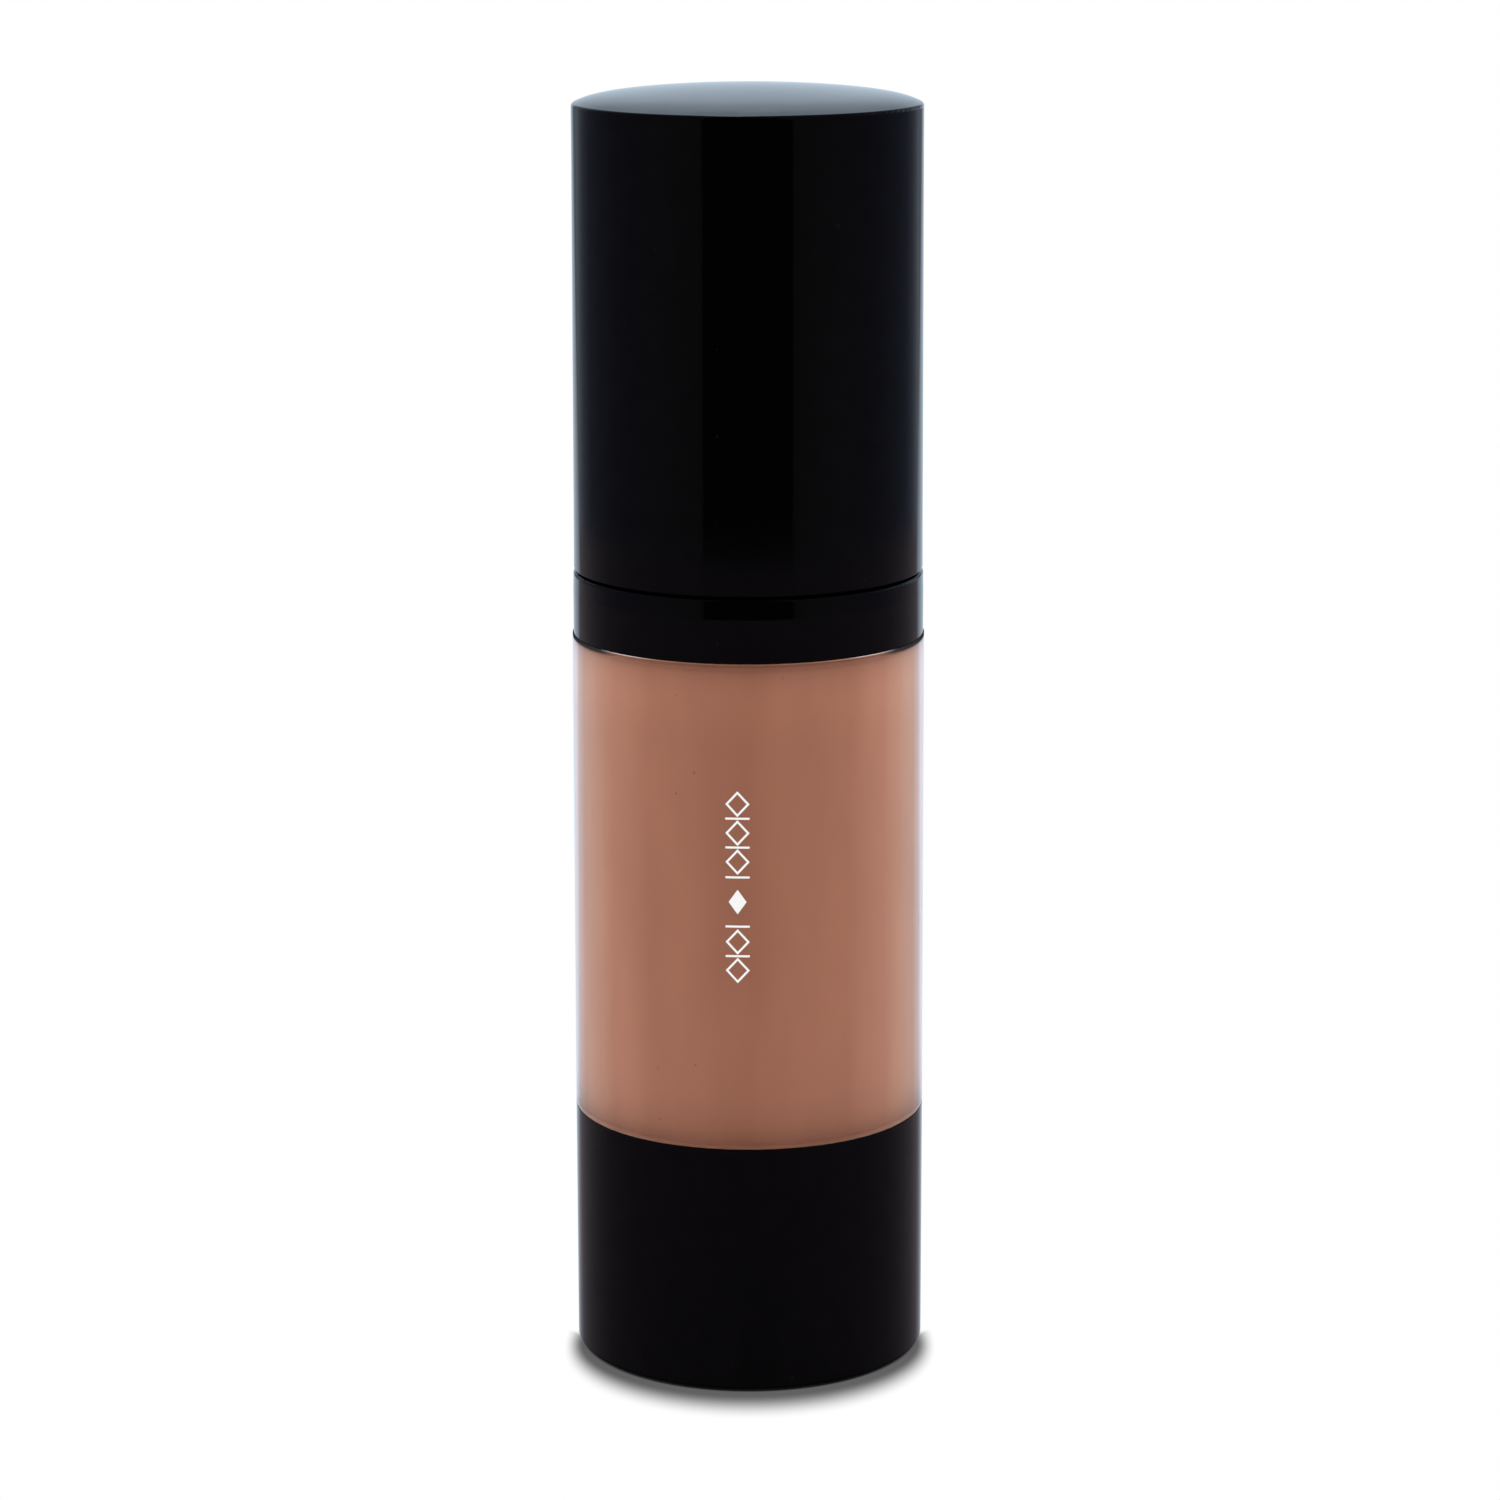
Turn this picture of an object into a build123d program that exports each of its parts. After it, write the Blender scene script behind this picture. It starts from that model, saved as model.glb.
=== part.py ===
from build123d import *
import math
import os

# A 30 ml airless pump bottle for liquid foundation: overcap, collar, clear body, base cup and the pump.
# Millimetres. +Z is up, the origin is the centre of the foot, and the nozzle points along -Y.
# Nearly every piece is turned: an outline of (radius, height) corners swept about Z.

# Outside
CAP_RADIUS = 16.87
CAP_TOP_RADIUS = 16.72
COLLAR_RADIUS = 16.95
COLLAR_LEAN = 0.03
LEAN_HEIGHT = 1.9
BODY_RADIUS = 17.17
BODY_TOP_RADIUS = 17.05
BASE_RADIUS = 17.17
BASE_TOP = 24.5
SHOULDER = 71.83
COLLAR_TOP = 77.98
CAP_BOTTOM = 78.2
CAP_SIDE_TOP = 122.38
CAP_EDGE = 0.4
CAP_RIM = 0.15
CROWN_RISE = 0.48
CROWN_DOME = 1.1
CROWN_POWER = 12
CROWN_STEPS = 16

# Clearances: GAP between pieces of one body, SLIP between pieces that slide
GAP = 0.03
SLIP = 0.05

# Clear body and its neck
BORE = 14.4
ROOF = 71.9
ROOF_ROUND = 1.4
SKIRT_BOTTOM = 3.0
SKIRT_RADIUS = 15.3
SNAP_HEIGHT = 8.5
SPIGOT_RADIUS = 15.4
SPIGOT_TOP = 73.8
NECK_RADIUS = 11.9
NECK_BORE = 9.6
NECK_TOP = 79.0
NECK_BEAD = 12.2

# Base cup
FOOT_INNER = 14.9
FOOT_RECESS = 0.8
FLOOR_TOP = 2.3
VENT_RADIUS = 1.0

# Follower piston, at the bottom of its travel
FOLLOWER_BOTTOM = 9.0
FOLLOWER_TOP = 22.0
FOLLOWER_WALL = 1.3
POCKET_RADIUS = 6.5
POCKET_DEPTH = 8.5

# Pump housing
HOUSING_BOTTOM = 62.0
HOUSING_RADIUS = 5.0
PUMP_BORE = 3.8
PORT_RADIUS = 1.1
PORT_LENGTH = 1.0
CAGE_RADIUS = 2.1
LEDGE = 66.6
HOUSING_TOP = 84.4
FLANGE_BOTTOM = 80.0
FLANGE_TOP = 81.2
WEB = 1.2
BALL_RADIUS = 1.6
RETAINER = 0.9
RETAINER_HOLE = 1.2

# Stem, spindle and seal, at the top of their travel
DISC_BOTTOM = 78.4
DISC_TOP = 79.4
DISC_RADIUS = 3.3
STEM_RADIUS = 2.4
STEM_BORE = 1.2
STEM_BOTTOM = 80.1
STEM_TOP = 97.0
SHOULDER_RADIUS = 3.0
SHOULDER_BOTTOM = 83.4
SEAL_SLIP = 0.8

# Return spring
SPRING_RADIUS = 2.75
WIRE_RADIUS = 0.3
SPRING_TURNS = 7

# Closure ring and collar
CLOSURE_RADIUS = 13.5
CLOSURE_TOP = 82.45
GUIDE_HOLE = 5.6
GUIDE_RADIUS = 6.2
GUIDE_TOP = 86.5
POST_RADIUS = 15.0
POST_INNER = 13.7
POST_TOP = 91.0
GRIP_HEIGHT = 84.5

# Actuator
SKIRT_OUTER = 13.0
HEAD_BOTTOM = 87.6
HEAD_STEP = 95.0
HEAD_RADIUS = 11.2
HEAD_TOP = 110.0
HEAD_DISH = 0.7
HEAD_WALL = 1.2
CORE_RADIUS = 4.0
CORE_BOTTOM = 91.2
SOCKET_TOP = 97.3
CORE_TOP = 107.9
SPOUT_HEIGHT = 103.6
SPOUT_RADIUS = 3.0
SPOUT_BORE = 2.0
SPOUT_END = 14.2
TIP_END = 14.6
TIP_RADIUS = 2.3
CHANNEL = 1.0

# Overcap
SHELL_INNER = 15.8
SHELL_ROOF = 121.9
LINER_WALL = 0.63
LINER_BOTTOM = 79.0
LINER_ROOF = 1.0


def swept(curves, rounds):
    """A closed outline of (radius, height) curves, swept about Z; rounds gives some corners a radius."""
    face = make_face(Plane.XZ * curves)
    for corner, radius in rounds.items():
        spot = Vector(corner[0], 0, corner[1])
        nearest = min(face.vertices(), key=lambda v: (Vector(v) - spot).length)
        face = fillet(nearest, radius)
    return revolve(face, axis=Axis.Z)


def turned(outline, rounds=None):
    """The same for an outline that has only straight sides, given by its corners."""
    return swept(Polyline(*outline, close=True), rounds or {})


def bead(inner, outer, height, width):
    """Corners of a snap bead, or of a groove, on a wall that is drawn upwards."""
    ramp = abs(outer - inner)
    low = height - width / 2
    high = height + width / 2
    return [(inner, low - ramp), (outer, low), (outer, high), (inner, high + ramp)]


def rod(radius, start, end, height):
    """A round bar along -Y at the given height, from start to end measured from the axis."""
    middle = Location((0, -(start + end) / 2, height), (90, 0, 0))
    return middle * Cylinder(radius, end - start)


def make_base_cover():
    """Satin cup under the body; the hole in its floor lets air in below the follower."""
    inner = SKIRT_RADIUS + 0.15
    groove = bead(inner, inner + 0.3, SNAP_HEIGHT, 1.0)
    outline = [
        (VENT_RADIUS, FOOT_RECESS),
        (FOOT_INNER - 0.3, FOOT_RECESS),
        (FOOT_INNER, 0),
        (BASE_RADIUS, 0),
        (BASE_RADIUS, BASE_TOP),
        (inner, BASE_TOP),
        *reversed(groove),
        (inner, FLOOR_TOP),
        (VENT_RADIUS, FLOOR_TOP),
    ]
    rounds = {(BASE_RADIUS, 0): 0.45, (FOOT_INNER, 0): 0.3, (BASE_RADIUS, BASE_TOP): 0.06}
    return turned(outline, rounds)


def make_bottle():
    """Clear body: a skirt inside the base cup, the visible wall with its draft, the shoulder and the neck."""
    skirt_bead = bead(SKIRT_RADIUS, SKIRT_RADIUS + 0.3, SNAP_HEIGHT, 0.7)
    neck_bead = bead(NECK_RADIUS, NECK_BEAD, 76.3, 0.6)
    outline = [
        (BORE, SKIRT_BOTTOM),
        (SKIRT_RADIUS, SKIRT_BOTTOM),
        *skirt_bead,
        (SKIRT_RADIUS, BASE_TOP + GAP),
        (BODY_RADIUS, BASE_TOP + GAP),
        (BODY_TOP_RADIUS, SHOULDER),
        (SPIGOT_RADIUS, SHOULDER),
        (SPIGOT_RADIUS, SPIGOT_TOP),
        (NECK_RADIUS, SPIGOT_TOP),
        *neck_bead,
        (NECK_RADIUS, NECK_TOP),
        (NECK_BORE, NECK_TOP),
        (NECK_BORE, ROOF),
        (BORE, ROOF),
    ]
    rounds = {
        (BORE, ROOF): ROOF_ROUND,
        (BODY_TOP_RADIUS, SHOULDER): 0.06,
        (BODY_RADIUS, BASE_TOP + GAP): 0.06,
        (SPIGOT_RADIUS, SPIGOT_TOP): 0.3,
        (NECK_RADIUS, NECK_TOP): 0.3,
    }
    return turned(outline, rounds)


def make_foundation_fill():
    """The liquid, from the follower to the chamber's roof, around the pump housing's lower end."""
    side = BORE - GAP
    top = ROOF - GAP
    bottom = FOLLOWER_TOP + GAP
    pocket = POCKET_RADIUS - GAP
    tube = HOUSING_RADIUS + GAP
    outline = [
        (0, bottom - POCKET_DEPTH),
        (pocket, bottom - POCKET_DEPTH),
        (pocket, bottom),
        (side, bottom),
        (side, top),
        (tube, top),
        (tube, HOUSING_BOTTOM - GAP),
        (0, HOUSING_BOTTOM - GAP),
    ]
    return turned(outline, {(side, top): ROOF_ROUND})


def make_follower_piston():
    """Wiper piston under the liquid, with a pocket that clears the pump housing at the top."""
    lip = BORE - SLIP
    body = lip - 0.65
    inner = body - FOLLOWER_WALL
    underside = FOLLOWER_TOP - FOLLOWER_WALL
    floor = FOLLOWER_TOP - POCKET_DEPTH
    pocket_outer = POCKET_RADIUS + FOLLOWER_WALL
    outline = [
        (0, floor - FOLLOWER_WALL),
        (pocket_outer, floor - FOLLOWER_WALL),
        (pocket_outer, underside),
        (inner, underside),
        (inner, FOLLOWER_BOTTOM),
        (lip, FOLLOWER_BOTTOM),
        (lip, FOLLOWER_BOTTOM + 0.8),
        (body, FOLLOWER_BOTTOM + 2.2),
        (body, FOLLOWER_TOP - 2.2),
        (lip, FOLLOWER_TOP - 0.8),
        (lip, FOLLOWER_TOP),
        (lip - 0.35, FOLLOWER_TOP),
        (body - 0.35, FOLLOWER_TOP - 0.9),
        (inner + 0.2, FOLLOWER_TOP),
        (POCKET_RADIUS, FOLLOWER_TOP),
        (POCKET_RADIUS, floor),
        (0, floor),
    ]
    rounds = {(POCKET_RADIUS, FOLLOWER_TOP): 0.5, (pocket_outer, underside): 0.4}
    return turned(outline, rounds)


def make_neck_gasket():
    """Flat washer between the neck and the pump housing's flange."""
    return turned(
        [
            (NECK_BORE + 0.2, NECK_TOP + GAP),
            (NECK_RADIUS - 0.2, NECK_TOP + GAP),
            (NECK_RADIUS - 0.2, FLANGE_BOTTOM - GAP),
            (NECK_BORE + 0.2, FLANGE_BOTTOM - GAP),
        ]
    )


def make_pump_housing():
    """Pump chamber with its inlet seat, and the plug and flange that close the bottle's neck."""
    plug_outer = NECK_BORE - 0.1
    plug_inner = plug_outer - WEB
    plug_bottom = ROOF + GAP
    cone_top = HOUSING_BOTTOM + PORT_LENGTH + (CAGE_RADIUS - PORT_RADIUS)
    snap = bead(HOUSING_RADIUS, HOUSING_RADIUS + 0.18, 83.15, 0.3)
    outline = [
        (PORT_RADIUS, HOUSING_BOTTOM),
        (HOUSING_RADIUS, HOUSING_BOTTOM),
        (HOUSING_RADIUS, plug_bottom),
        (plug_outer, plug_bottom),
        (plug_outer, FLANGE_BOTTOM),
        (NECK_RADIUS, FLANGE_BOTTOM),
        (NECK_RADIUS, FLANGE_TOP),
        (plug_inner, FLANGE_TOP),
        (plug_inner, plug_bottom + WEB),
        (HOUSING_RADIUS, plug_bottom + WEB),
        *snap,
        (HOUSING_RADIUS, HOUSING_TOP),
        (PUMP_BORE, HOUSING_TOP),
        (PUMP_BORE, LEDGE),
        (CAGE_RADIUS, LEDGE),
        (CAGE_RADIUS, cone_top),
        (PORT_RADIUS, HOUSING_BOTTOM + PORT_LENGTH),
    ]
    rounds = {
        (HOUSING_RADIUS, HOUSING_BOTTOM): 0.8,
        (plug_outer, plug_bottom): 0.4,
        (HOUSING_RADIUS, plug_bottom + WEB): 0.4,
    }
    return turned(outline, rounds)


def ball_height():
    """Height of the ball's centre when it sits, with its clearance, on the 45 degree inlet seat."""
    seat = HOUSING_BOTTOM + PORT_LENGTH - PORT_RADIUS
    return seat + (BALL_RADIUS + GAP) * math.sqrt(2)


def make_inlet_ball():
    """Inlet valve ball."""
    return Pos(0, 0, ball_height()) * Sphere(BALL_RADIUS)


def make_ball_retainer():
    """Washer on the ledge that keeps the ball in its cage; three notches let the liquid past it."""
    low = LEDGE + GAP
    outline = [
        (RETAINER_HOLE, low),
        (PUMP_BORE - SLIP, low),
        (PUMP_BORE - SLIP, low + RETAINER),
        (RETAINER_HOLE, low + RETAINER),
    ]
    washer = turned(outline)
    for notch in PolarLocations(RETAINER_HOLE + 0.3, 3):
        washer -= notch * Pos(0, 0, low + RETAINER / 2) * Box(1.0, 0.7, 2 * RETAINER)
    return washer


def make_return_spring():
    """Compression spring between the retainer and the spindle's disc."""
    low = LEDGE + 2 * GAP + RETAINER + WIRE_RADIUS
    high = DISC_BOTTOM - GAP - WIRE_RADIUS
    rise = high - low
    path = Pos(0, 0, low) * Helix(rise / SPRING_TURNS, rise, SPRING_RADIUS)
    start = Plane(origin=path @ 0, z_dir=path % 0)
    return sweep(start * Circle(WIRE_RADIUS), path=path, is_frenet=True)


def make_valve_spindle():
    """Rod in the stem's lower end: spring pin, sealing disc, and a flatted shank that lets liquid by."""
    shank = STEM_BORE - GAP
    pin = 1.5
    pin_bottom = DISC_BOTTOM - 2.0
    shank_top = STEM_BOTTOM + 4.0
    lower = turned(
        [
            (0, pin_bottom),
            (pin, pin_bottom),
            (pin, DISC_BOTTOM),
            (DISC_RADIUS, DISC_BOTTOM),
            (DISC_RADIUS, DISC_TOP - 0.4),
            (DISC_RADIUS - 0.4, DISC_TOP),
            (0, DISC_TOP),
        ],
        {(pin, pin_bottom): 0.4},
    )
    length = shank_top - DISC_TOP
    middle = Pos(0, 0, DISC_TOP + length / 2)
    flatted = middle * (Cylinder(shank, length) & Box(1.4, 4 * shank, length))
    return lower + flatted


def make_stem():
    """Hollow stem; its shoulder stops under the stem guide when the pump is up."""
    shoulder_top = HOUSING_TOP
    outline = [
        (STEM_BORE, STEM_BOTTOM),
        (STEM_RADIUS, STEM_BOTTOM),
        (STEM_RADIUS, SHOULDER_BOTTOM),
        (SHOULDER_RADIUS, SHOULDER_BOTTOM),
        (SHOULDER_RADIUS, shoulder_top),
        (STEM_RADIUS, shoulder_top),
        (STEM_RADIUS, STEM_TOP),
        (STEM_BORE, STEM_TOP),
    ]
    return turned(outline, {(STEM_RADIUS, STEM_TOP): 0.3})


def make_piston_seal():
    """Double-lipped pump piston that slips on the stem, between the disc and the stem's shoulder."""
    bore = STEM_RADIUS + 0.04
    hub = 3.0
    sleeve = 3.35
    lip = PUMP_BORE - 0.04
    waist = 3.6
    low = DISC_TOP + GAP
    high = SHOULDER_BOTTOM - SEAL_SLIP - SLIP
    middle = (low + high) / 2
    outline = [
        (bore, low),
        (hub, low),
        (hub, middle - 0.5),
        (sleeve, middle - 0.5),
        (sleeve, low + 0.1),
        (lip, low + 0.1),
        (lip, low + 0.5),
        (waist, middle - 0.4),
        (waist, middle + 0.4),
        (lip, high - 0.5),
        (lip, high - 0.1),
        (sleeve, high - 0.1),
        (sleeve, middle + 0.5),
        (hub, middle + 0.5),
        (hub, high),
        (bore, high),
    ]
    return turned(outline)


def make_housing_cap():
    """Stem guide, snapped over the top of the pump housing."""
    inner = HOUSING_RADIUS + 0.06
    web_bottom = HOUSING_TOP + GAP
    boss = 3.6
    groove = bead(inner, inner + 0.18, 83.15, 0.5)
    outline = [
        (inner, CLOSURE_TOP + SLIP),
        (GUIDE_RADIUS, CLOSURE_TOP + SLIP),
        (GUIDE_RADIUS, web_bottom + WEB),
        (boss, web_bottom + WEB),
        (boss, GUIDE_TOP),
        (STEM_RADIUS + SLIP, GUIDE_TOP),
        (STEM_RADIUS + SLIP, web_bottom),
        (inner, web_bottom),
        *reversed(groove),
    ]
    return turned(outline, {(GUIDE_RADIUS, web_bottom + WEB): 0.4, (boss, GUIDE_TOP): 0.2})


def make_closure_ring():
    """Snap ring that clamps the pump housing's flange on the neck; the collar snaps over it."""
    inner = NECK_BEAD + SLIP
    web_bottom = FLANGE_TOP + GAP
    bottom = SPIGOT_TOP + 0.25
    hook = bead(inner, NECK_RADIUS + SLIP, 74.9, 0.4)
    outer_bead = bead(CLOSURE_RADIUS, CLOSURE_RADIUS + 0.2, 78.5, 0.6)
    outline = [
        (inner, bottom),
        (CLOSURE_RADIUS, bottom),
        *outer_bead,
        (CLOSURE_RADIUS, CLOSURE_TOP),
        (GUIDE_HOLE, CLOSURE_TOP),
        (GUIDE_HOLE, web_bottom),
        (inner, web_bottom),
        *reversed(hook),
    ]
    return turned(outline, {(CLOSURE_RADIUS, CLOSURE_TOP): 0.4})


def make_collar():
    """Glossy ring on the shoulder, and the post inside it that the overcap grips."""
    skirt_inner = SPIGOT_RADIUS + SLIP
    web_bottom = COLLAR_TOP - 1.5
    inner_skirt = 14.9
    grip_groove = bead(POST_RADIUS, POST_RADIUS - 0.12, GRIP_HEIGHT, 1.0)
    snap_groove = bead(POST_INNER, POST_INNER + 0.15, 78.5, 1.0)
    outline = [
        (skirt_inner, SHOULDER + GAP),
        (COLLAR_RADIUS, SHOULDER + GAP),
        (COLLAR_RADIUS, COLLAR_TOP - LEAN_HEIGHT),
        (COLLAR_RADIUS - COLLAR_LEAN, COLLAR_TOP),
        (POST_RADIUS, COLLAR_TOP),
        *grip_groove,
        (POST_RADIUS, POST_TOP),
        (POST_INNER, POST_TOP),
        *reversed(snap_groove),
        (POST_INNER, SPIGOT_TOP + 0.4),
        (inner_skirt, SPIGOT_TOP + 0.4),
        (inner_skirt, web_bottom),
        (skirt_inner, web_bottom),
    ]
    rounds = {
        (COLLAR_RADIUS - COLLAR_LEAN, COLLAR_TOP): 0.35,
        (COLLAR_RADIUS, SHOULDER + GAP): 0.06,
        (POST_RADIUS, POST_TOP): 0.4,
        (POST_INNER, POST_TOP): 0.3,
    }
    return turned(outline, rounds)


def make_actuator_shell():
    """Push button: a skirt inside the collar's post, a narrower head with a dished top, and the spout."""
    skirt_inner = SKIRT_OUTER - HEAD_WALL
    head_inner = HEAD_RADIUS - HEAD_WALL
    step_rise = SKIRT_OUTER - HEAD_RADIUS
    outline = [
        (0, HEAD_TOP),
        (0, CORE_TOP + GAP),
        (head_inner, CORE_TOP + GAP),
        (head_inner, HEAD_STEP + step_rise - 0.5),
        (skirt_inner, HEAD_STEP - 0.5),
        (skirt_inner, HEAD_BOTTOM),
        (SKIRT_OUTER, HEAD_BOTTOM),
        (SKIRT_OUTER, HEAD_STEP),
        (HEAD_RADIUS, HEAD_STEP + step_rise),
        (HEAD_RADIUS, HEAD_TOP),
    ]
    rounds = {
        (SKIRT_OUTER, HEAD_STEP): 0.8,
        (HEAD_RADIUS, HEAD_STEP + step_rise): 0.8,
        (HEAD_RADIUS, HEAD_TOP): 1.1,
        (SKIRT_OUTER, HEAD_BOTTOM): 0.3,
    }
    button = turned(outline, rounds)
    dish_radius = (HEAD_RADIUS - 1.6) ** 2 / (2 * HEAD_DISH)
    button -= Pos(0, 0, HEAD_TOP - HEAD_DISH + dish_radius) * Sphere(dish_radius)
    button += rod(SPOUT_RADIUS, head_inner + 0.3, SPOUT_END, SPOUT_HEIGHT)
    spout_rim = button.edges().filter_by(GeomType.CIRCLE).sort_by(Axis.Y)[0]
    button = fillet(spout_rim, 0.5)
    return button - rod(SPOUT_BORE, head_inner - 1, SPOUT_END + 1, SPOUT_HEIGHT)


def make_actuator_core():
    """Fitment inside the button: stem socket, riser, arm to the spout, and ribs that hold the shell."""
    rib_reach = HEAD_RADIUS - HEAD_WALL - SLIP
    rib_bottom = 98.5
    column = turned(
        [
            (STEM_RADIUS + 0.04, CORE_BOTTOM),
            (CORE_RADIUS, CORE_BOTTOM),
            (CORE_RADIUS, CORE_TOP),
            (0, CORE_TOP),
            (0, SOCKET_TOP),
            (STEM_RADIUS + 0.04, SOCKET_TOP),
        ],
        {(CORE_RADIUS, CORE_BOTTOM): 0.4},
    )
    rib_height = CORE_TOP - rib_bottom
    rib = Pos(rib_reach / 2, 0, rib_bottom + rib_height / 2) * Box(rib_reach, WEB, rib_height)
    for angle in (0, 90, 180):
        column += Rot(0, 0, angle) * rib
    column += rod(SPOUT_BORE - SLIP, 0, SPOUT_END - 2.2, SPOUT_HEIGHT)
    riser = SPOUT_HEIGHT - SOCKET_TOP
    column -= Pos(0, 0, SOCKET_TOP + riser / 2) * Cylinder(CHANNEL, riser)
    return column - rod(CHANNEL, 0, SPOUT_END, SPOUT_HEIGHT)


def make_nozzle_insert():
    """Tip of the spout."""
    barrel = rod(SPOUT_BORE - SLIP, SPOUT_END - 2.1, SPOUT_END + 0.1, SPOUT_HEIGHT)
    flange = rod(TIP_RADIUS, SPOUT_END + GAP, TIP_END, SPOUT_HEIGHT)
    return barrel + flange - rod(0.8, SPOUT_END - 3, TIP_END + 1, SPOUT_HEIGHT)


def make_overcap_shell():
    """Glossy overcap: a side with a little draft, a rounded edge and a nearly flat top."""
    slope = (CROWN_RISE * CROWN_POWER + CROWN_DOME * 2) / CAP_TOP_RADIUS
    turn = 90 - math.degrees(math.atan(slope))
    edge = CenterArc((CAP_TOP_RADIUS - CAP_EDGE, CAP_SIDE_TOP), CAP_EDGE, 0, turn)
    start = edge @ 1
    crown = []
    for step in range(1, CROWN_STEPS + 1):
        share = 1 - step / CROWN_STEPS
        rise = CROWN_RISE * (1 - share**CROWN_POWER) + CROWN_DOME * (1 - share**2)
        crown.append((start.X * share, start.Y + rise))
    top = Spline(start, *crown, tangents=(edge % 1, (-1, 0)))
    inside = Polyline(
        top @ 1,
        (0, SHELL_ROOF),
        (SHELL_INNER, SHELL_ROOF),
        (SHELL_INNER, CAP_BOTTOM),
        (CAP_RADIUS, CAP_BOTTOM),
        edge @ 0,
    )
    return swept(edge + top + inside, {(CAP_RADIUS, CAP_BOTTOM): CAP_RIM})


def make_overcap_liner():
    """Sleeve fixed in the overcap; its bead runs just clear of the collar's post."""
    outer = SHELL_INNER - SLIP
    inner = outer - LINER_WALL
    roof = SHELL_ROOF - SLIP
    grip = bead(inner, POST_RADIUS + GAP, GRIP_HEIGHT, 0.5)
    outline = [
        (inner, LINER_BOTTOM),
        (outer, LINER_BOTTOM),
        (outer, roof),
        (0, roof),
        (0, roof - LINER_ROOF),
        (inner, roof - LINER_ROOF),
        *reversed(grip),
    ]
    return turned(outline, {(inner, roof - LINER_ROOF): 0.5})


PIECES = {
    "base_cover": make_base_cover,
    "bottle": make_bottle,
    "foundation_fill": make_foundation_fill,
    "follower_piston": make_follower_piston,
    "neck_gasket": make_neck_gasket,
    "pump_housing": make_pump_housing,
    "inlet_ball": make_inlet_ball,
    "ball_retainer": make_ball_retainer,
    "return_spring": make_return_spring,
    "valve_spindle": make_valve_spindle,
    "stem": make_stem,
    "piston_seal": make_piston_seal,
    "housing_cap": make_housing_cap,
    "closure_ring": make_closure_ring,
    "collar": make_collar,
    "actuator_shell": make_actuator_shell,
    "actuator_core": make_actuator_core,
    "nozzle_insert": make_nozzle_insert,
    "overcap_shell": make_overcap_shell,
    "overcap_liner": make_overcap_liner,
}

os.makedirs("parts", exist_ok=True)
for name, make in PIECES.items():
    export_step(make(), f"parts/{name}.step")
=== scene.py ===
import math

import bmesh
import bpy
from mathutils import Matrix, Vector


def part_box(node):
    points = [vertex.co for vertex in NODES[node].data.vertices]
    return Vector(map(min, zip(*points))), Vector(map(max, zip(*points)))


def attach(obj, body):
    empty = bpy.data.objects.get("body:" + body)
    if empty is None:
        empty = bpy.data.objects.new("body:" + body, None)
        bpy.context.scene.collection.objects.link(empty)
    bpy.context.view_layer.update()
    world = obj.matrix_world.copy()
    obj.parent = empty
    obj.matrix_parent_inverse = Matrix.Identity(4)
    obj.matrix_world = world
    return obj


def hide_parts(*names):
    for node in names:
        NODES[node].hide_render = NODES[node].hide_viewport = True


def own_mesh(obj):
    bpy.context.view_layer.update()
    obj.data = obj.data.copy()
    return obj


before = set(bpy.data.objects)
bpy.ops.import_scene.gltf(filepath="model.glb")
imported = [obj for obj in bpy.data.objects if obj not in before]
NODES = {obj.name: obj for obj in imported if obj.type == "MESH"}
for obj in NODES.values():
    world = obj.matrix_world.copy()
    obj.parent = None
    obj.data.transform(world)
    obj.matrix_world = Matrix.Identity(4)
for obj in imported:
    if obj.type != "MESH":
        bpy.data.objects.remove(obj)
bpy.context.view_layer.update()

# An airless pump bottle for liquid foundation, on a pale floor in soft light. Metres, in the CAD frame.
# Every CAD node is shown with a procedural material, except the liquid, which a wetted copy stands for.

MM = 0.001

# Camera: a long lens, a little above the bottle and looking slightly down
CAMERA_AT = (0.0003, -0.4244, 0.1562)
CAMERA_PITCH = math.radians(12.79)
CAMERA_ROLL = math.radians(0.1)
LENS = 106.9

# Clearance between neighbouring CAD nodes
GAP = 0.03 * MM

# Bottle body, seen between the base and the collar: narrower by BODY_DRAFT at its top
BODY_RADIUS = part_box("base_cover")[1].x
BODY_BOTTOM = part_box("base_cover")[1].z + GAP
BODY_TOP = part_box("collar")[0].z - GAP
BODY_DRAFT = 0.12 * MM
BODY_IOR = 1.57

# Liquid: wider and higher than its CAD node by WETTING, to overlap the wall so that no film of air shows.
# It fills the follower's pocket and leaves a hole for the pump's tube.
WETTING = 0.05 * MM
LIQUID_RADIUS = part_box("foundation_fill")[1].x + WETTING
LIQUID_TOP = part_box("foundation_fill")[1].z + WETTING
LIQUID_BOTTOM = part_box("follower_piston")[1].z + GAP
LIQUID_ROUND = 1.4 * MM
POCKET_RADIUS = 6.47 * MM
POCKET_BOTTOM = 13.55 * MM
TUBE_RADIUS = 5.03 * MM
TUBE_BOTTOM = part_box("pump_housing")[0].z - GAP
LIQUID_STEPS = 256
ROUND_STEPS = 10

# Under the collar: painted shade on the wall's top edge, the band where the liquid is painted shaded at the
# sides and painted lighter in the middle, and the stretch below it over which the liquid is painted lighter
# upwards
EDGE_SHADE_BAND = 0.4 * MM
COLLAR_SHADE = (BODY_TOP - 1.03 * MM, BODY_TOP - 0.63 * MM)
PAINTED_LIGHT_RISE = (63 * MM, 71 * MM)
PAINTED_LIGHT_GAIN = 1.18

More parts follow.
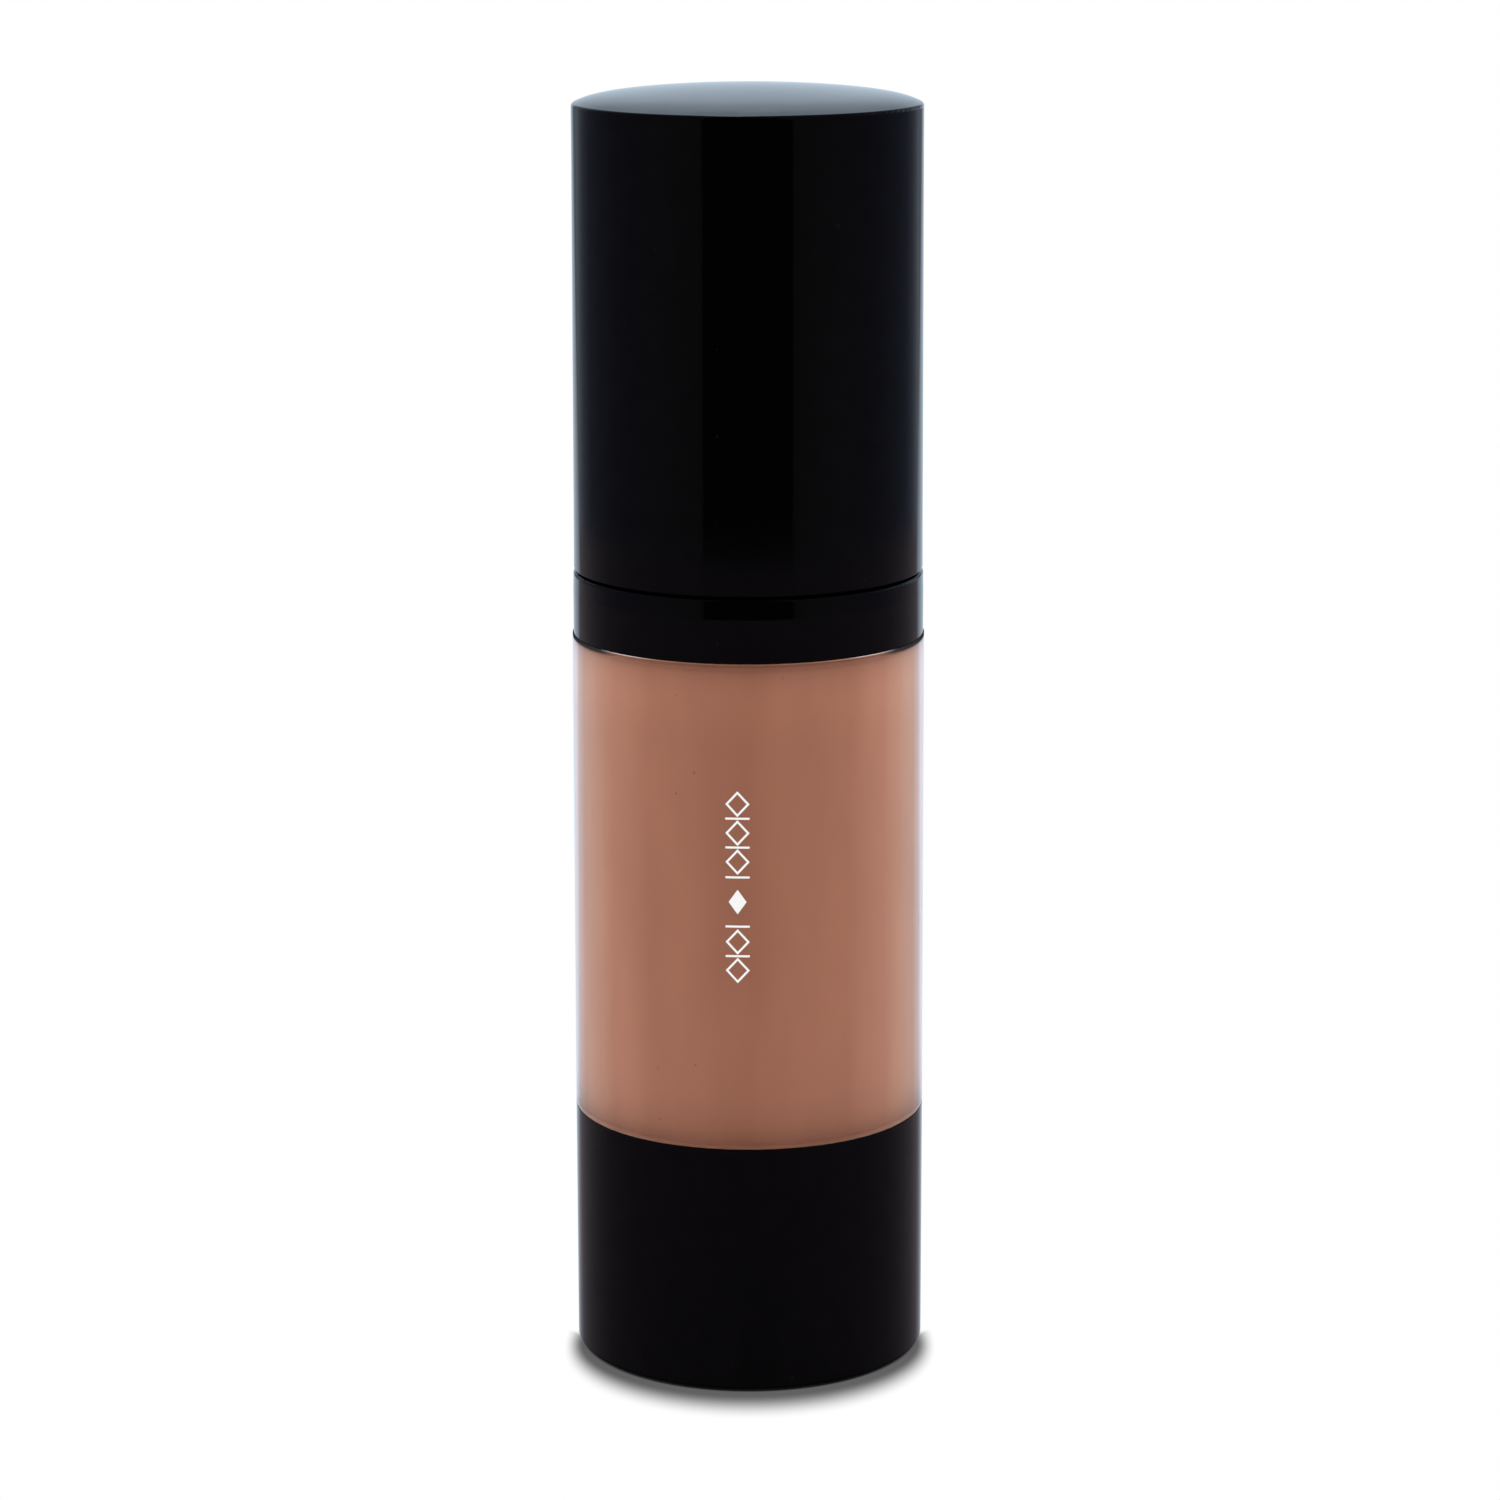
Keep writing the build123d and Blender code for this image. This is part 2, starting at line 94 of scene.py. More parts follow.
# Printed ornament: open lozenges and short bars in one upright line. Lozenges and bars are given by half
# their width and half their height.
INK_GAP = 0.002 * MM
INK_THICKNESS = 0.018 * MM
INK_LINE = 0.2 * MM
INK_STEPS = 6
ORNAMENT_OFFSET = -1.06 * MM
LOZENGE = (1.15 * MM, 1.25 * MM)
BAR = (1.15 * MM, 0.1 * MM)
CENTRE_LOZENGE = (0.85 * MM, 1.2 * MM)
CENTRE_HEIGHT = 49.0 * MM
UPPER_LOZENGES = (52.9 * MM, 55.7 * MM, 58.5 * MM)
LOWER_LOZENGES = (45.1 * MM, 42.3 * MM)
UPPER_BARS = (51.4 * MM, 54.3 * MM, 57.1 * MM)
LOWER_BARS = (46.6 * MM, 43.7 * MM)

# Light and floor. Bearings of mirrored rays are in half turns, so a degree is a 180th
DEGREE = 1 / 180
SKY = 1.15
BOUNCE = 0.85
FLOOR_SIZE = 4.0

# Contact shadow: a round blot, moved forwards, whose edge is blurred over BLUR_WIDTHS of SHADOW_BLUR
# (sideways, forwards) either way, and which fades in over SHADOW_START, from the bottle's middle forwards
SHADOW_RADIUS = 17.6 * MM
SHADOW_FALL = 3.85 * MM
SHADOW_BLUR = (0.5 * MM, 1.65 * MM, 0)
BLUR_WIDTHS = 2.0
SHADOW_START = (-2.8 * MM, 0.2 * MM)
SHADOW_LIGHT = 0.12

# The painted shadow line where the foot meets the floor
FOOT_RADIUS = 16.55 * MM
FOOT_FALL = 0.4 * MM
FOOT_LINE = 0.5 * MM
FOOT_LIGHT = 0.05


# ---------------------------------------------------------------- shader helpers

def add(tree, kind, inputs=None, **settings):
    """A shader node. inputs gives its sockets, by name or number, a value or another node's output."""
    node = tree.nodes.new("ShaderNode" + kind)
    for key, value in settings.items():
        setattr(node, key, value)
    for key, value in (inputs or {}).items():
        if isinstance(value, bpy.types.NodeSocket):
            tree.links.new(value, node.inputs[key])
        else:
            node.inputs[key].default_value = value
    return node


def maths(tree, operation, *values, clamp=False):
    """The result of one Math node."""
    node = add(tree, "Math", dict(enumerate(values)), operation=operation, use_clamp=clamp)
    return node.outputs[0]


def spread(tree, value, low, high, new_low=0.0, new_high=1.0, smooth=True):
    """value mapped from low..high to new_low..new_high, and held at both ends."""
    inputs = {0: value, 1: low, 2: high, 3: new_low, 4: new_high}
    kind = "SMOOTHSTEP" if smooth else "LINEAR"
    return add(tree, "MapRange", inputs, interpolation_type=kind).outputs[0]


def blend(tree, factor, first, second):
    """A colour between two others."""
    inputs = {0: factor, 6: first, 7: second}
    return add(tree, "Mix", inputs, data_type="RGBA").outputs[2]


def ramp(tree, factor, stops):
    """A colour ramp with stops of (position, colour)."""
    node = add(tree, "ValToRGB", {"Fac": factor})
    elements = node.color_ramp.elements
    elements.remove(elements[-1])
    for number, (position, colour) in enumerate(stops):
        element = elements.new(position) if number else elements[0]
        element.position = position
        element.color = (*colour, 1)
    return node.outputs["Color"]


def grey(value):
    return (value, value, value, 1)


def place(tree, stretch=(1, 1, 1)):
    """Object coordinates, in metres of the CAD frame."""
    point = add(tree, "TexCoord").outputs["Object"]
    return add(tree, "Mapping", {"Vector": point, "Scale": stretch}).outputs[0]


def noise(tree, size, detail=2.0, stretch=(1, 1, 1)):
    """Noise with features of the given size."""
    inputs = {"Vector": place(tree, stretch), "Scale": 1 / size, "Detail": detail}
    return add(tree, "TexNoise", inputs).outputs[0]


def specks(tree, spacing, size):
    """A mask of scattered specks, up to the given size, in about a third of cells of the given spacing."""
    cells = add(tree, "TexVoronoi", {"Vector": place(tree), "Scale": 1 / spacing})
    chance = add(tree, "SeparateColor", {0: cells.outputs["Color"]}).outputs[0]
    radius = spread(tree, chance, 0.65, 1.0, 0.0, size / spacing / 2, smooth=False)
    return maths(tree, "LESS_THAN", cells.outputs["Distance"], radius)


def hairlines(tree, size, stretch):
    """A mask of fine wiping marks along the direction in which stretch is small."""
    return spread(tree, noise(tree, size, 1.0, stretch), 0.66, 0.72)


def level(tree, direction):
    """The same direction without its rise, at unit length."""
    flat = add(tree, "VectorMath", {0: direction, 1: (1, 1, 0)}, operation="MULTIPLY")
    return add(tree, "VectorMath", {0: flat.outputs[0]}, operation="NORMALIZE").outputs[0]


def level_facing(tree):
    """How squarely the round wall is seen: one at its middle, nothing at its outline."""
    sight = level(tree, add(tree, "NewGeometry").outputs["Incoming"])
    outward = level(tree, place(tree))
    return add(tree, "VectorMath", {0: sight, 1: outward}, operation="DOT_PRODUCT").outputs["Value"]


def bump(tree, height, depth):
    return add(tree, "Bump", {"Height": height, "Distance": depth, "Strength": 1.0}).outputs[0]


def new_material(name):
    """An empty material with its output node."""
    made = bpy.data.materials.new(name)
    made.use_nodes = True
    made.node_tree.nodes.clear()
    return made, made.node_tree, add(made.node_tree, "OutputMaterial")


def surface(tree, output, inputs):
    """Joins a Principled shader to the output."""
    shader = add(tree, "BsdfPrincipled", inputs)
    tree.links.new(shader.outputs[0], output.inputs["Surface"])


# ---------------------------------------------------------------- materials

def black_plastic(name, roughness, peel):
    """Glossy moulded black: slight orange peel, a faint haze, wiping marks and a little dust."""
    made, tree, output = new_material(name)
    dust = specks(tree, 1.4 * MM, 0.16 * MM)
    upright = hairlines(tree, 0.5 * MM, (1, 1, 0.03))
    round_about = hairlines(tree, 0.4 * MM, (0.04, 0.04, 1))
    worn = maths(tree, "MULTIPLY", maths(tree, "MAXIMUM", upright, round_about), noise(tree, 12 * MM))
    colour = blend(tree, dust, (0.0005, 0.0005, 0.0006, 1), grey(0.012))
    rough = maths(tree, "MULTIPLY_ADD", worn, 0.05, roughness)
    rough = maths(tree, "MULTIPLY_ADD", dust, 0.4, rough)
    haze = spread(tree, noise(tree, 2 * MM, 3.0), 0.3, 0.7, 0.46, 0.54)
    shine = spread(tree, dust, 0, 1, haze, 0.1)
    surface(tree, output, {
        "Base Color": colour,
        "Roughness": rough,
        "IOR": 1.5,
        "Specular IOR Level": shine,
        "Normal": bump(tree, noise(tree, 2.5 * MM, 1.0), peel),
    })
    return made


def matt_black():
    """Moulded black with a fine spark-eroded grain."""
    made, tree, output = new_material("matt_black")
    grain = noise(tree, 0.12 * MM, 3.0)
    cloud = noise(tree, 4 * MM)
    surface(tree, output, {
        "Base Color": blend(tree, cloud, grey(0.008), grey(0.016)),
        "Roughness": spread(tree, grain, 0.3, 0.7, 0.32, 0.5),
        "IOR": 1.49,
        "Normal": bump(tree, grain, 0.012 * MM),
    })
    return made


def moulded_white(name, colour, shade, roughness, grain_depth):
    """Unpigmented plastic: light goes a little way in, and the flow of the moulding shows faintly."""
    made, tree, output = new_material(name)
    flow = noise(tree, 3 * MM, 2.0, (1, 1, 0.3))
    grain = noise(tree, 0.2 * MM, 2.0)
    dark = specks(tree, 1.5 * MM, 0.12 * MM)
    tint = blend(tree, flow, colour, shade)
    surface(tree, output, {
        "Base Color": blend(tree, dark, tint, grey(0.35)),
        "Roughness": spread(tree, grain, 0.3, 0.7, roughness - 0.06, roughness + 0.06),
        "IOR": 1.49,
        "Subsurface Weight": 0.25,
        "Subsurface Scale": 0.6 * MM,
        "Subsurface Radius": (1.0, 0.9, 0.7),
        "Normal": bump(tree, grain, grain_depth),
    })
    return made


def painted_edge_shade(tree, path, wall):
    """The wall's shader, with painted shade along its top edge where the edge is seen directly and aslant.
    """
    height = add(tree, "SeparateXYZ", {0: place(tree)}).outputs["Z"]
    edge = spread(tree, height, BODY_TOP - EDGE_SHADE_BAND, BODY_TOP - EDGE_SHADE_BAND / 2)
    aslant = spread(tree, level_facing(tree), 0.7, 0.5)
    seen = maths(tree, "MULTIPLY", path.outputs["Is Camera Ray"], aslant)
    # The painted shade: a dark diffuse sheet for camera rays
    dark = add(tree, "BsdfDiffuse", {0: grey(0.03)})
    inputs = {0: maths(tree, "MULTIPLY", edge, seen), 1: wall.outputs[0], 2: dark.outputs[0]}
    return add(tree, "MixShader", inputs)


def clear_plastic():
    """Polished clear wall, with painted shade along its top edge at the collar. Light for the liquid goes
    straight through it.
    """
    made, tree, output = new_material("clear_plastic")
    marks = hairlines(tree, 0.5 * MM, (1, 1, 0.04))
    glass = add(tree, "BsdfPrincipled", {
        "Base Color": (0.985, 0.99, 0.995, 1),
        "Transmission Weight": 1.0,
        "IOR": BODY_IOR,
        "Roughness": maths(tree, "MULTIPLY_ADD", marks, 0.03, 0.008),
        "Normal": bump(tree, noise(tree, 3 * MM, 1.0), 0.0004 * MM),
    })
    path = add(tree, "LightPath")
    passing = maths(tree, "MAXIMUM", path.outputs["Is Shadow Ray"], path.outputs["Is Diffuse Ray"])
    clear = add(tree, "BsdfTransparent", {0: grey(1.0)})
    edge_shaded = painted_edge_shade(tree, path, glass)
    mixed = add(tree, "MixShader", {0: passing, 1: edge_shaded.outputs[0], 2: clear.outputs[0]})
    tree.links.new(mixed.outputs[0], output.inputs["Surface"])
    return made


def liquid():
    """Foundation seen through the thick wall, with painted light and shade: it is painted paler towards the
    sides, where it is seen aslant, with a painted reflection near its outline, painted lighter upwards and
    painted shade under the collar at the sides.

    The wall works as a lens: aslant is 0 at the middle and 1 at the outline of what shows through it.
    """
    made, tree, output = new_material("foundation_liquid")
    lens = (BODY_IOR * LIQUID_RADIUS / BODY_RADIUS) ** -2
    facing = level_facing(tree)
    aslant = maths(tree, "MULTIPLY", facing, facing)
    aslant = maths(tree, "SUBTRACT", 1.0, aslant)
    aslant = maths(tree, "SQRT", maths(tree, "DIVIDE", aslant, lens, clamp=True))
    # Painted light: paler towards the sides, and a painted reflection of pale lilac near the outline
    colour = ramp(tree, aslant, [
        (0.0, (0.31, 0.127, 0.079)),
        (0.56, (0.36, 0.155, 0.1)),
        (0.76, (0.45, 0.21, 0.143)),
        (0.84, (0.53, 0.28, 0.2)),
        (0.92, (0.59, 0.365, 0.295)),
        (0.946, (0.69, 0.52, 0.5)),
        (0.964, (0.79, 0.68, 0.69)),
        (1.0, (0.82, 0.7, 0.71)),
    ])
    streaks = noise(tree, 5 * MM, 3.0, (1, 1, 0.25))
    streaks = spread(tree, streaks, 0.2, 0.8, 0.94, 1.06)
    pigment = specks(tree, 1.6 * MM, 0.22 * MM)
    shade = maths(tree, "MULTIPLY", streaks, spread(tree, pigment, 0, 1, 1.0, 0.6))
    height = add(tree, "SeparateXYZ", {0: place(tree)}).outputs["Z"]
    # Painted light: the liquid lighter upwards towards the collar
    shade = maths(tree, "MULTIPLY", shade, spread(tree, height, *PAINTED_LIGHT_RISE, 1.0, PAINTED_LIGHT_GAIN))
    # Painted shade at the sides under the collar, and painted light in the middle
    painted_collar_light = spread(tree, aslant, 0.74, 0.9, 1.3, 0.12)
    shade = maths(tree, "MULTIPLY", shade, spread(tree, height, *COLLAR_SHADE, 1.0, painted_collar_light))
    tone = add(tree, "CombineColor", {0: shade, 1: shade, 2: shade}).outputs[0]
    toned = add(tree, "Mix", {0: 1.0, 6: colour, 7: tone}, data_type="RGBA", blend_type="MULTIPLY")
    surface(tree, output, {
        "Base Color": toned.outputs[2],
        "Roughness": 0.5,
        "Specular IOR Level": 0.0,
        "Normal": bump(tree, noise(tree, 6 * MM), 0.02 * MM),
    })
    return made


def drawn_steel():
    """Stainless wire with fine drawing marks."""
    made, tree, output = new_material("drawn_steel")
    marks = noise(tree, 0.06 * MM, 2.0, (1, 1, 3))
    surface(tree, output, {
        "Base Color": blend(tree, marks, (0.5, 0.5, 0.51, 1), (0.66, 0.65, 0.64, 1)),
        "Metallic": 1.0,
        "Roughness": spread(tree, marks, 0.3, 0.7, 0.22, 0.36),
        "Normal": bump(tree, marks, 0.002 * MM),
    })
    return made


def polished_steel():
    """Bearing ball: polished, with a haze of handling marks."""
    made, tree, output = new_material("polished_steel")
    haze = noise(tree, 0.4 * MM, 3.0)
    surface(tree, output, {
        "Base Color": blend(tree, haze, (0.62, 0.62, 0.63, 1), (0.7, 0.7, 0.7, 1)),
        "Metallic": 1.0,
        "Roughness": spread(tree, haze, 0.3, 0.7, 0.06, 0.14),
    })
    return made


def foam():
    """Foamed sealing washer, with painted shade in the hollows of its pores."""
    made, tree, output = new_material("foam")
    pores = add(tree, "TexVoronoi", {"Vector": place(tree), "Scale": 1 / (0.15 * MM)})
    depth = pores.outputs["Distance"]
    surface(tree, output, {
        # The colour darkens into each pore's hollow: painted shade
        "Base Color": blend(tree, depth, grey(0.5), grey(0.74)),
        "Roughness": 0.85,
        "Normal": bump(tree, depth, 0.03 * MM),
    })
    return made


def white_ink():
    """Screen-printed white ink: slightly uneven cover and a faint mesh texture."""
    made, tree, output = new_material("white_ink")
    cover = noise(tree, 0.25 * MM, 2.0)
    surface(tree, output, {
        "Base Color": blend(tree, cover, grey(0.86), grey(0.97)),
        "Roughness": spread(tree, cover, 0.3, 0.7, 0.35, 0.5),
        "Normal": bump(tree, noise(tree, 0.08 * MM), 0.003 * MM),
    })
    return made


# ---------------------------------------------------------------- pieces

def new_piece(name, shape, material):
    """An object for a finished bmesh, riding on the bottle's body."""
    bmesh.ops.recalc_face_normals(shape, faces=shape.faces)
    mesh = bpy.data.meshes.new(name)
    shape.to_mesh(mesh)
    shape.free()
    mesh.materials.append(material)
    piece = bpy.data.objects.new(name, mesh)
    bpy.context.scene.collection.objects.link(piece)
    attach(piece, "bottle_body")
    return piece


def lathe(outline, steps):
    """A closed solid from an outline of (radius, height) corners that starts and ends on the axis."""
    shape = bmesh.new()
    rings = []
    for radius, height in outline:
        count = steps if radius > 0 else 1
        ring = []
        for step in range(count):
            angle = math.tau * step / count
            ring.append(shape.verts.new((radius * math.cos(angle), radius * math.sin(angle), height)))
        rings.append(ring)
    for low, high in zip(rings, rings[1:]):
        for step in range(steps):
            turns = ((low, step), (low, step + 1), (high, step + 1), (high, step))
            corners = [ring[turn % len(ring)] for ring, turn in turns]
            shape.faces.new(list(dict.fromkeys(corners)))
    return shape


def liquid_outline():
    """From the follower's pocket, up the wall, over the rounded top and down round the pump's tube."""
    outline = [(0, POCKET_BOTTOM), (POCKET_RADIUS, POCKET_BOTTOM), (POCKET_RADIUS, LIQUID_BOTTOM)]
    outline.append((LIQUID_RADIUS, LIQUID_BOTTOM))
    for step in range(ROUND_STEPS + 1):
        angle = math.pi / 2 * step / ROUND_STEPS
        across = LIQUID_RADIUS - LIQUID_ROUND * (1 - math.cos(angle))
        outline.append((across, LIQUID_TOP - LIQUID_ROUND * (1 - math.sin(angle))))
    return outline + [(TUBE_RADIUS, LIQUID_TOP), (TUBE_RADIUS, TUBE_BOTTOM), (0, TUBE_BOTTOM)]


def make_liquid():
    """The liquid in contact with the wall, in place of its CAD node."""
    piece = new_piece("foundation_liquid", lathe(liquid_outline(), LIQUID_STEPS), liquid())
    for polygon in piece.data.polygons:
        polygon.use_smooth = True
    piece.data.set_sharp_from_angle(angle=math.radians(30))
    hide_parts("foundation_fill")
    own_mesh(piece)


def on_body(across, height, lift):
    """A point above the body's side, at a distance measured round it from the ornament's centre line."""
    side = BODY_RADIUS - BODY_DRAFT * (height - BODY_BOTTOM) / (BODY_TOP - BODY_BOTTOM)
    angle = (ORNAMENT_OFFSET + across) / side
    radius = side + lift
    return (radius * math.sin(angle), -radius * math.cos(angle), height)


def ink_sheet(shape, rows, closed):
    """A thin closed sheet that follows the body, from rows of (across, height) points."""
    back, front = [
        [[shape.verts.new(on_body(across, height, lift)) for across, height in row] for row in rows]
        for lift in (INK_GAP, INK_GAP + INK_THICKNESS)
    ]
    last = len(rows) if closed else len(rows) - 1
    for number in range(last):
        after = (number + 1) % len(rows)
        for column in range(len(rows[0]) - 1):
            for sheet in (back, front):
                near, far = sheet[number], sheet[after]
                shape.faces.new((near[column], near[column + 1], far[column + 1], far[column]))
        for side in (0, -1):
            shape.faces.new((back[number][side], back[after][side], front[after][side], front[number][side]))
    if not closed:
        for end in (0, -1):
            for column in range(len(rows[0]) - 1):
                low, high = back[end], front[end]
                shape.faces.new((low[column], low[column + 1], high[column + 1], high[column]))


def lozenge_edge(half_width, half_height, height):
    """Points round a lozenge, corner to corner."""
    corners = [(half_width, 0), (0, half_height), (-half_width, 0), (0, -half_height)]
    points = []
    for start, end in zip(corners, corners[1:] + corners[:1]):
        for step in range(INK_STEPS):
            share = step / INK_STEPS
            across = start[0] + (end[0] - start[0]) * share
            points.append((across, height + start[1] + (end[1] - start[1]) * share))
    return points


def open_lozenge(shape, height):
    """A lozenge drawn with one line of even width."""
    half_width, half_height = LOZENGE
    inset = 1 - INK_LINE * math.hypot(half_width, half_height) / (half_width * half_height)
    outer = lozenge_edge(half_width, half_height, height)
    inner = lozenge_edge(half_width * inset, half_height * inset, height)
    ink_sheet(shape, list(zip(outer, inner)), closed=True)


def bar(shape, height):
    """A short level bar."""
    half_width, half_height = BAR
    rows = []
    for step in range(2 * INK_STEPS + 1):
        across = half_width * (step / INK_STEPS - 1)
        rows.append([(across, height - half_height), (across, height + half_height)])
    ink_sheet(shape, rows, closed=False)


def full_lozenge(shape, height):
    """A filled lozenge."""
    half_width, half_height = CENTRE_LOZENGE
    steps = 2 * INK_STEPS
    rows = []
    for first in range(steps + 1):
        row = []
        for second in range(steps + 1):
            across = half_width * (first + second - steps) / steps
            rise = half_height * (second - first) / steps
            row.append((across, height + rise))
        rows.append(row)
    ink_sheet(shape, rows, closed=False)


def make_ornament():
    """The printed ornament on the front of the body."""
    shape = bmesh.new()
    full_lozenge(shape, CENTRE_HEIGHT)
    for height in UPPER_LOZENGES + LOWER_LOZENGES:
        open_lozenge(shape, height)
    for height in UPPER_BARS + LOWER_BARS:
        bar(shape, height)
    new_piece("printed_ornament", shape, white_ink())


def dress_nodes():
    """Gives each CAD node its material."""
    natural = moulded_white("natural_white", (0.84, 0.83, 0.79, 1), (0.78, 0.77, 0.73, 1), 0.34, 0.004 * MM)
    soft = moulded_white("soft_white", (0.8, 0.79, 0.76, 1), (0.73, 0.72, 0.69, 1), 0.48, 0.008 * MM)
    gloss = black_plastic("gloss_black", 0.04, 0.0015 * MM)
    matt = matt_black()
    finishes = {
        "overcap_shell": gloss,
        "collar": gloss,
        "actuator_shell": gloss,
        "base_cover": black_plastic("satin_black", 0.09, 0.003 * MM),
        "overcap_liner": matt,
        "nozzle_insert": matt,
        "closure_ring": matt,
        "actuator_core": natural,
        "stem": natural,
        "valve_spindle": natural,
        "ball_retainer": natural,
        "pump_housing": natural,
        "housing_cap": natural,
        "piston_seal": soft,
        "follower_piston": soft,
        "return_spring": drawn_steel(),
        "inlet_ball": polished_steel(),
        "neck_gasket": foam(),
        "bottle": clear_plastic(),
    }
    for name, material in finishes.items():
        NODES[name].data.materials.clear()
        NODES[name].data.materials.append(material)


def make_spring_follow():
    """Gives the spring a mesh of its own."""
    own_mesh(NODES["return_spring"])


# ---------------------------------------------------------------- stage

def length_of(tree, vector):
    return add(tree, "VectorMath", {0: vector}, operation="LENGTH").outputs["Value"]


def moved(tree, point, back):
    """The point as seen from a place that lies that far in front of the middle."""
    return add(tree, "VectorMath", {0: point, 1: (0, back, 0)}, operation="ADD").outputs[0]


def contact_shadow(tree):
    """Light left on the floor: a soft blot of painted shadow that falls forwards, and a thin line of painted
    shade along the foot.
    """
    point = add(tree, "TexCoord").outputs["Object"]
    shifted = moved(tree, point, SHADOW_FALL)
    reach = length_of(tree, shifted)
    stretched = add(tree, "VectorMath", {0: shifted, 1: SHADOW_BLUR}, operation="MULTIPLY").outputs[0]
    blur = maths(tree, "DIVIDE", length_of(tree, stretched), reach)
    outside = maths(tree, "DIVIDE", maths(tree, "SUBTRACT", reach, SHADOW_RADIUS), blur)
    blot = spread(tree, outside, -BLUR_WIDTHS, BLUR_WIDTHS, SHADOW_LIGHT, 1.0)
    from_foot = length_of(tree, moved(tree, point, FOOT_FALL))
    line = spread(tree, from_foot, FOOT_RADIUS, FOOT_RADIUS + FOOT_LINE, FOOT_LIGHT, 1.0)
    light = maths(tree, "MULTIPLY", blot, line)
    depth = add(tree, "SeparateXYZ", {0: point}).outputs["Y"]
    light = maths(tree, "MAXIMUM", light, spread(tree, depth, *SHADOW_START))
    return add(tree, "CombineColor", {0: light, 1: light, 2: light}).outputs[0]


def make_floor():
    """A pale floor that runs into the background, with the bottle's soft contact shadow."""
    shape = bmesh.new()
    bmesh.ops.create_grid(shape, x_segments=1, y_segments=1, size=FLOOR_SIZE / 2)
    mesh = bpy.data.meshes.new("floor")
    shape.to_mesh(mesh)
    shape.free()
    floor = bpy.data.objects.new("floor", mesh)
    bpy.context.scene.collection.objects.link(floor)
    floor.visible_glossy = False
    made, tree, output = new_material("floor")
    shadow = contact_shadow(tree)
    path = add(tree, "LightPath")
    seen = blend(tree, path.outputs["Is Diffuse Ray"], shadow, grey(BOUNCE))
    glow = add(tree, "Emission", {"Color": seen, "Strength": 1.0})
    tree.links.new(glow.outputs[0], output.inputs["Surface"])
    mesh.materials.append(made)


def bearing_and_rise(tree):
    """Of a mirrored ray: its rise, and its bearing from 0 behind the bottle to 1 towards the camera."""
    coordinates = add(tree, "TexCoord")
    rise = add(tree, "SeparateXYZ", {0: coordinates.outputs["Generated"]}).outputs["Z"]
    seen = add(tree, "SeparateXYZ", {0: coordinates.outputs["Camera"]})
    ahead = maths(tree, "MULTIPLY_ADD", rise, math.tan(CAMERA_PITCH), seen.outputs["Z"])
    across = maths(tree, "ABSOLUTE", seen.outputs["X"])
    return maths(tree, "DIVIDE", maths(tree, "ARCTAN2", across, ahead), math.pi), rise


def sweep_light(tree, share, rise):
    """The bright sweep behind the bottle, paler in the middle, and the soft light above it."""
    low = ramp(tree, share, [
        (0.5, (0.64, 0.77, 0.9)),
        (0.8, (0.56, 0.66, 0.76)),
        (1.0, (0.4, 0.47, 0.56)),
    ])
    lamp = blend(tree, spread(tree, rise, 0.35, 0.75), low, (1.0, 1.2, 1.42, 1))
    return blend(tree, spread(tree, rise, 0.72, 0.97), lamp, (1.7, 2.0, 2.4, 1))


def room_light(tree, bearing):
    """Dim walls on both sides, with a paler strip next to the sweep, and black towards the camera."""
    walls = ramp(tree, bearing, [
        (20 * DEGREE, (0.27, 0.32, 0.39)),
        (27 * DEGREE, (0.19, 0.22, 0.28)),
        (32 * DEGREE, (0.28, 0.31, 0.35)),
        (37 * DEGREE, (0.2, 0.23, 0.29)),
        (44 * DEGREE, (0.13, 0.15, 0.2)),
        (54 * DEGREE, (0.086, 0.095, 0.138)),
        (68 * DEGREE, (0.073, 0.078, 0.108)),
        (92 * DEGREE, (0.063, 0.063, 0.095)),
        (120 * DEGREE, (0.065, 0.065, 0.075)),
        (150 * DEGREE, (0.05, 0.05, 0.055)),
    ])
    return blend(tree, spread(tree, bearing, 149 * DEGREE, 151 * DEGREE), walls, grey(0.0))


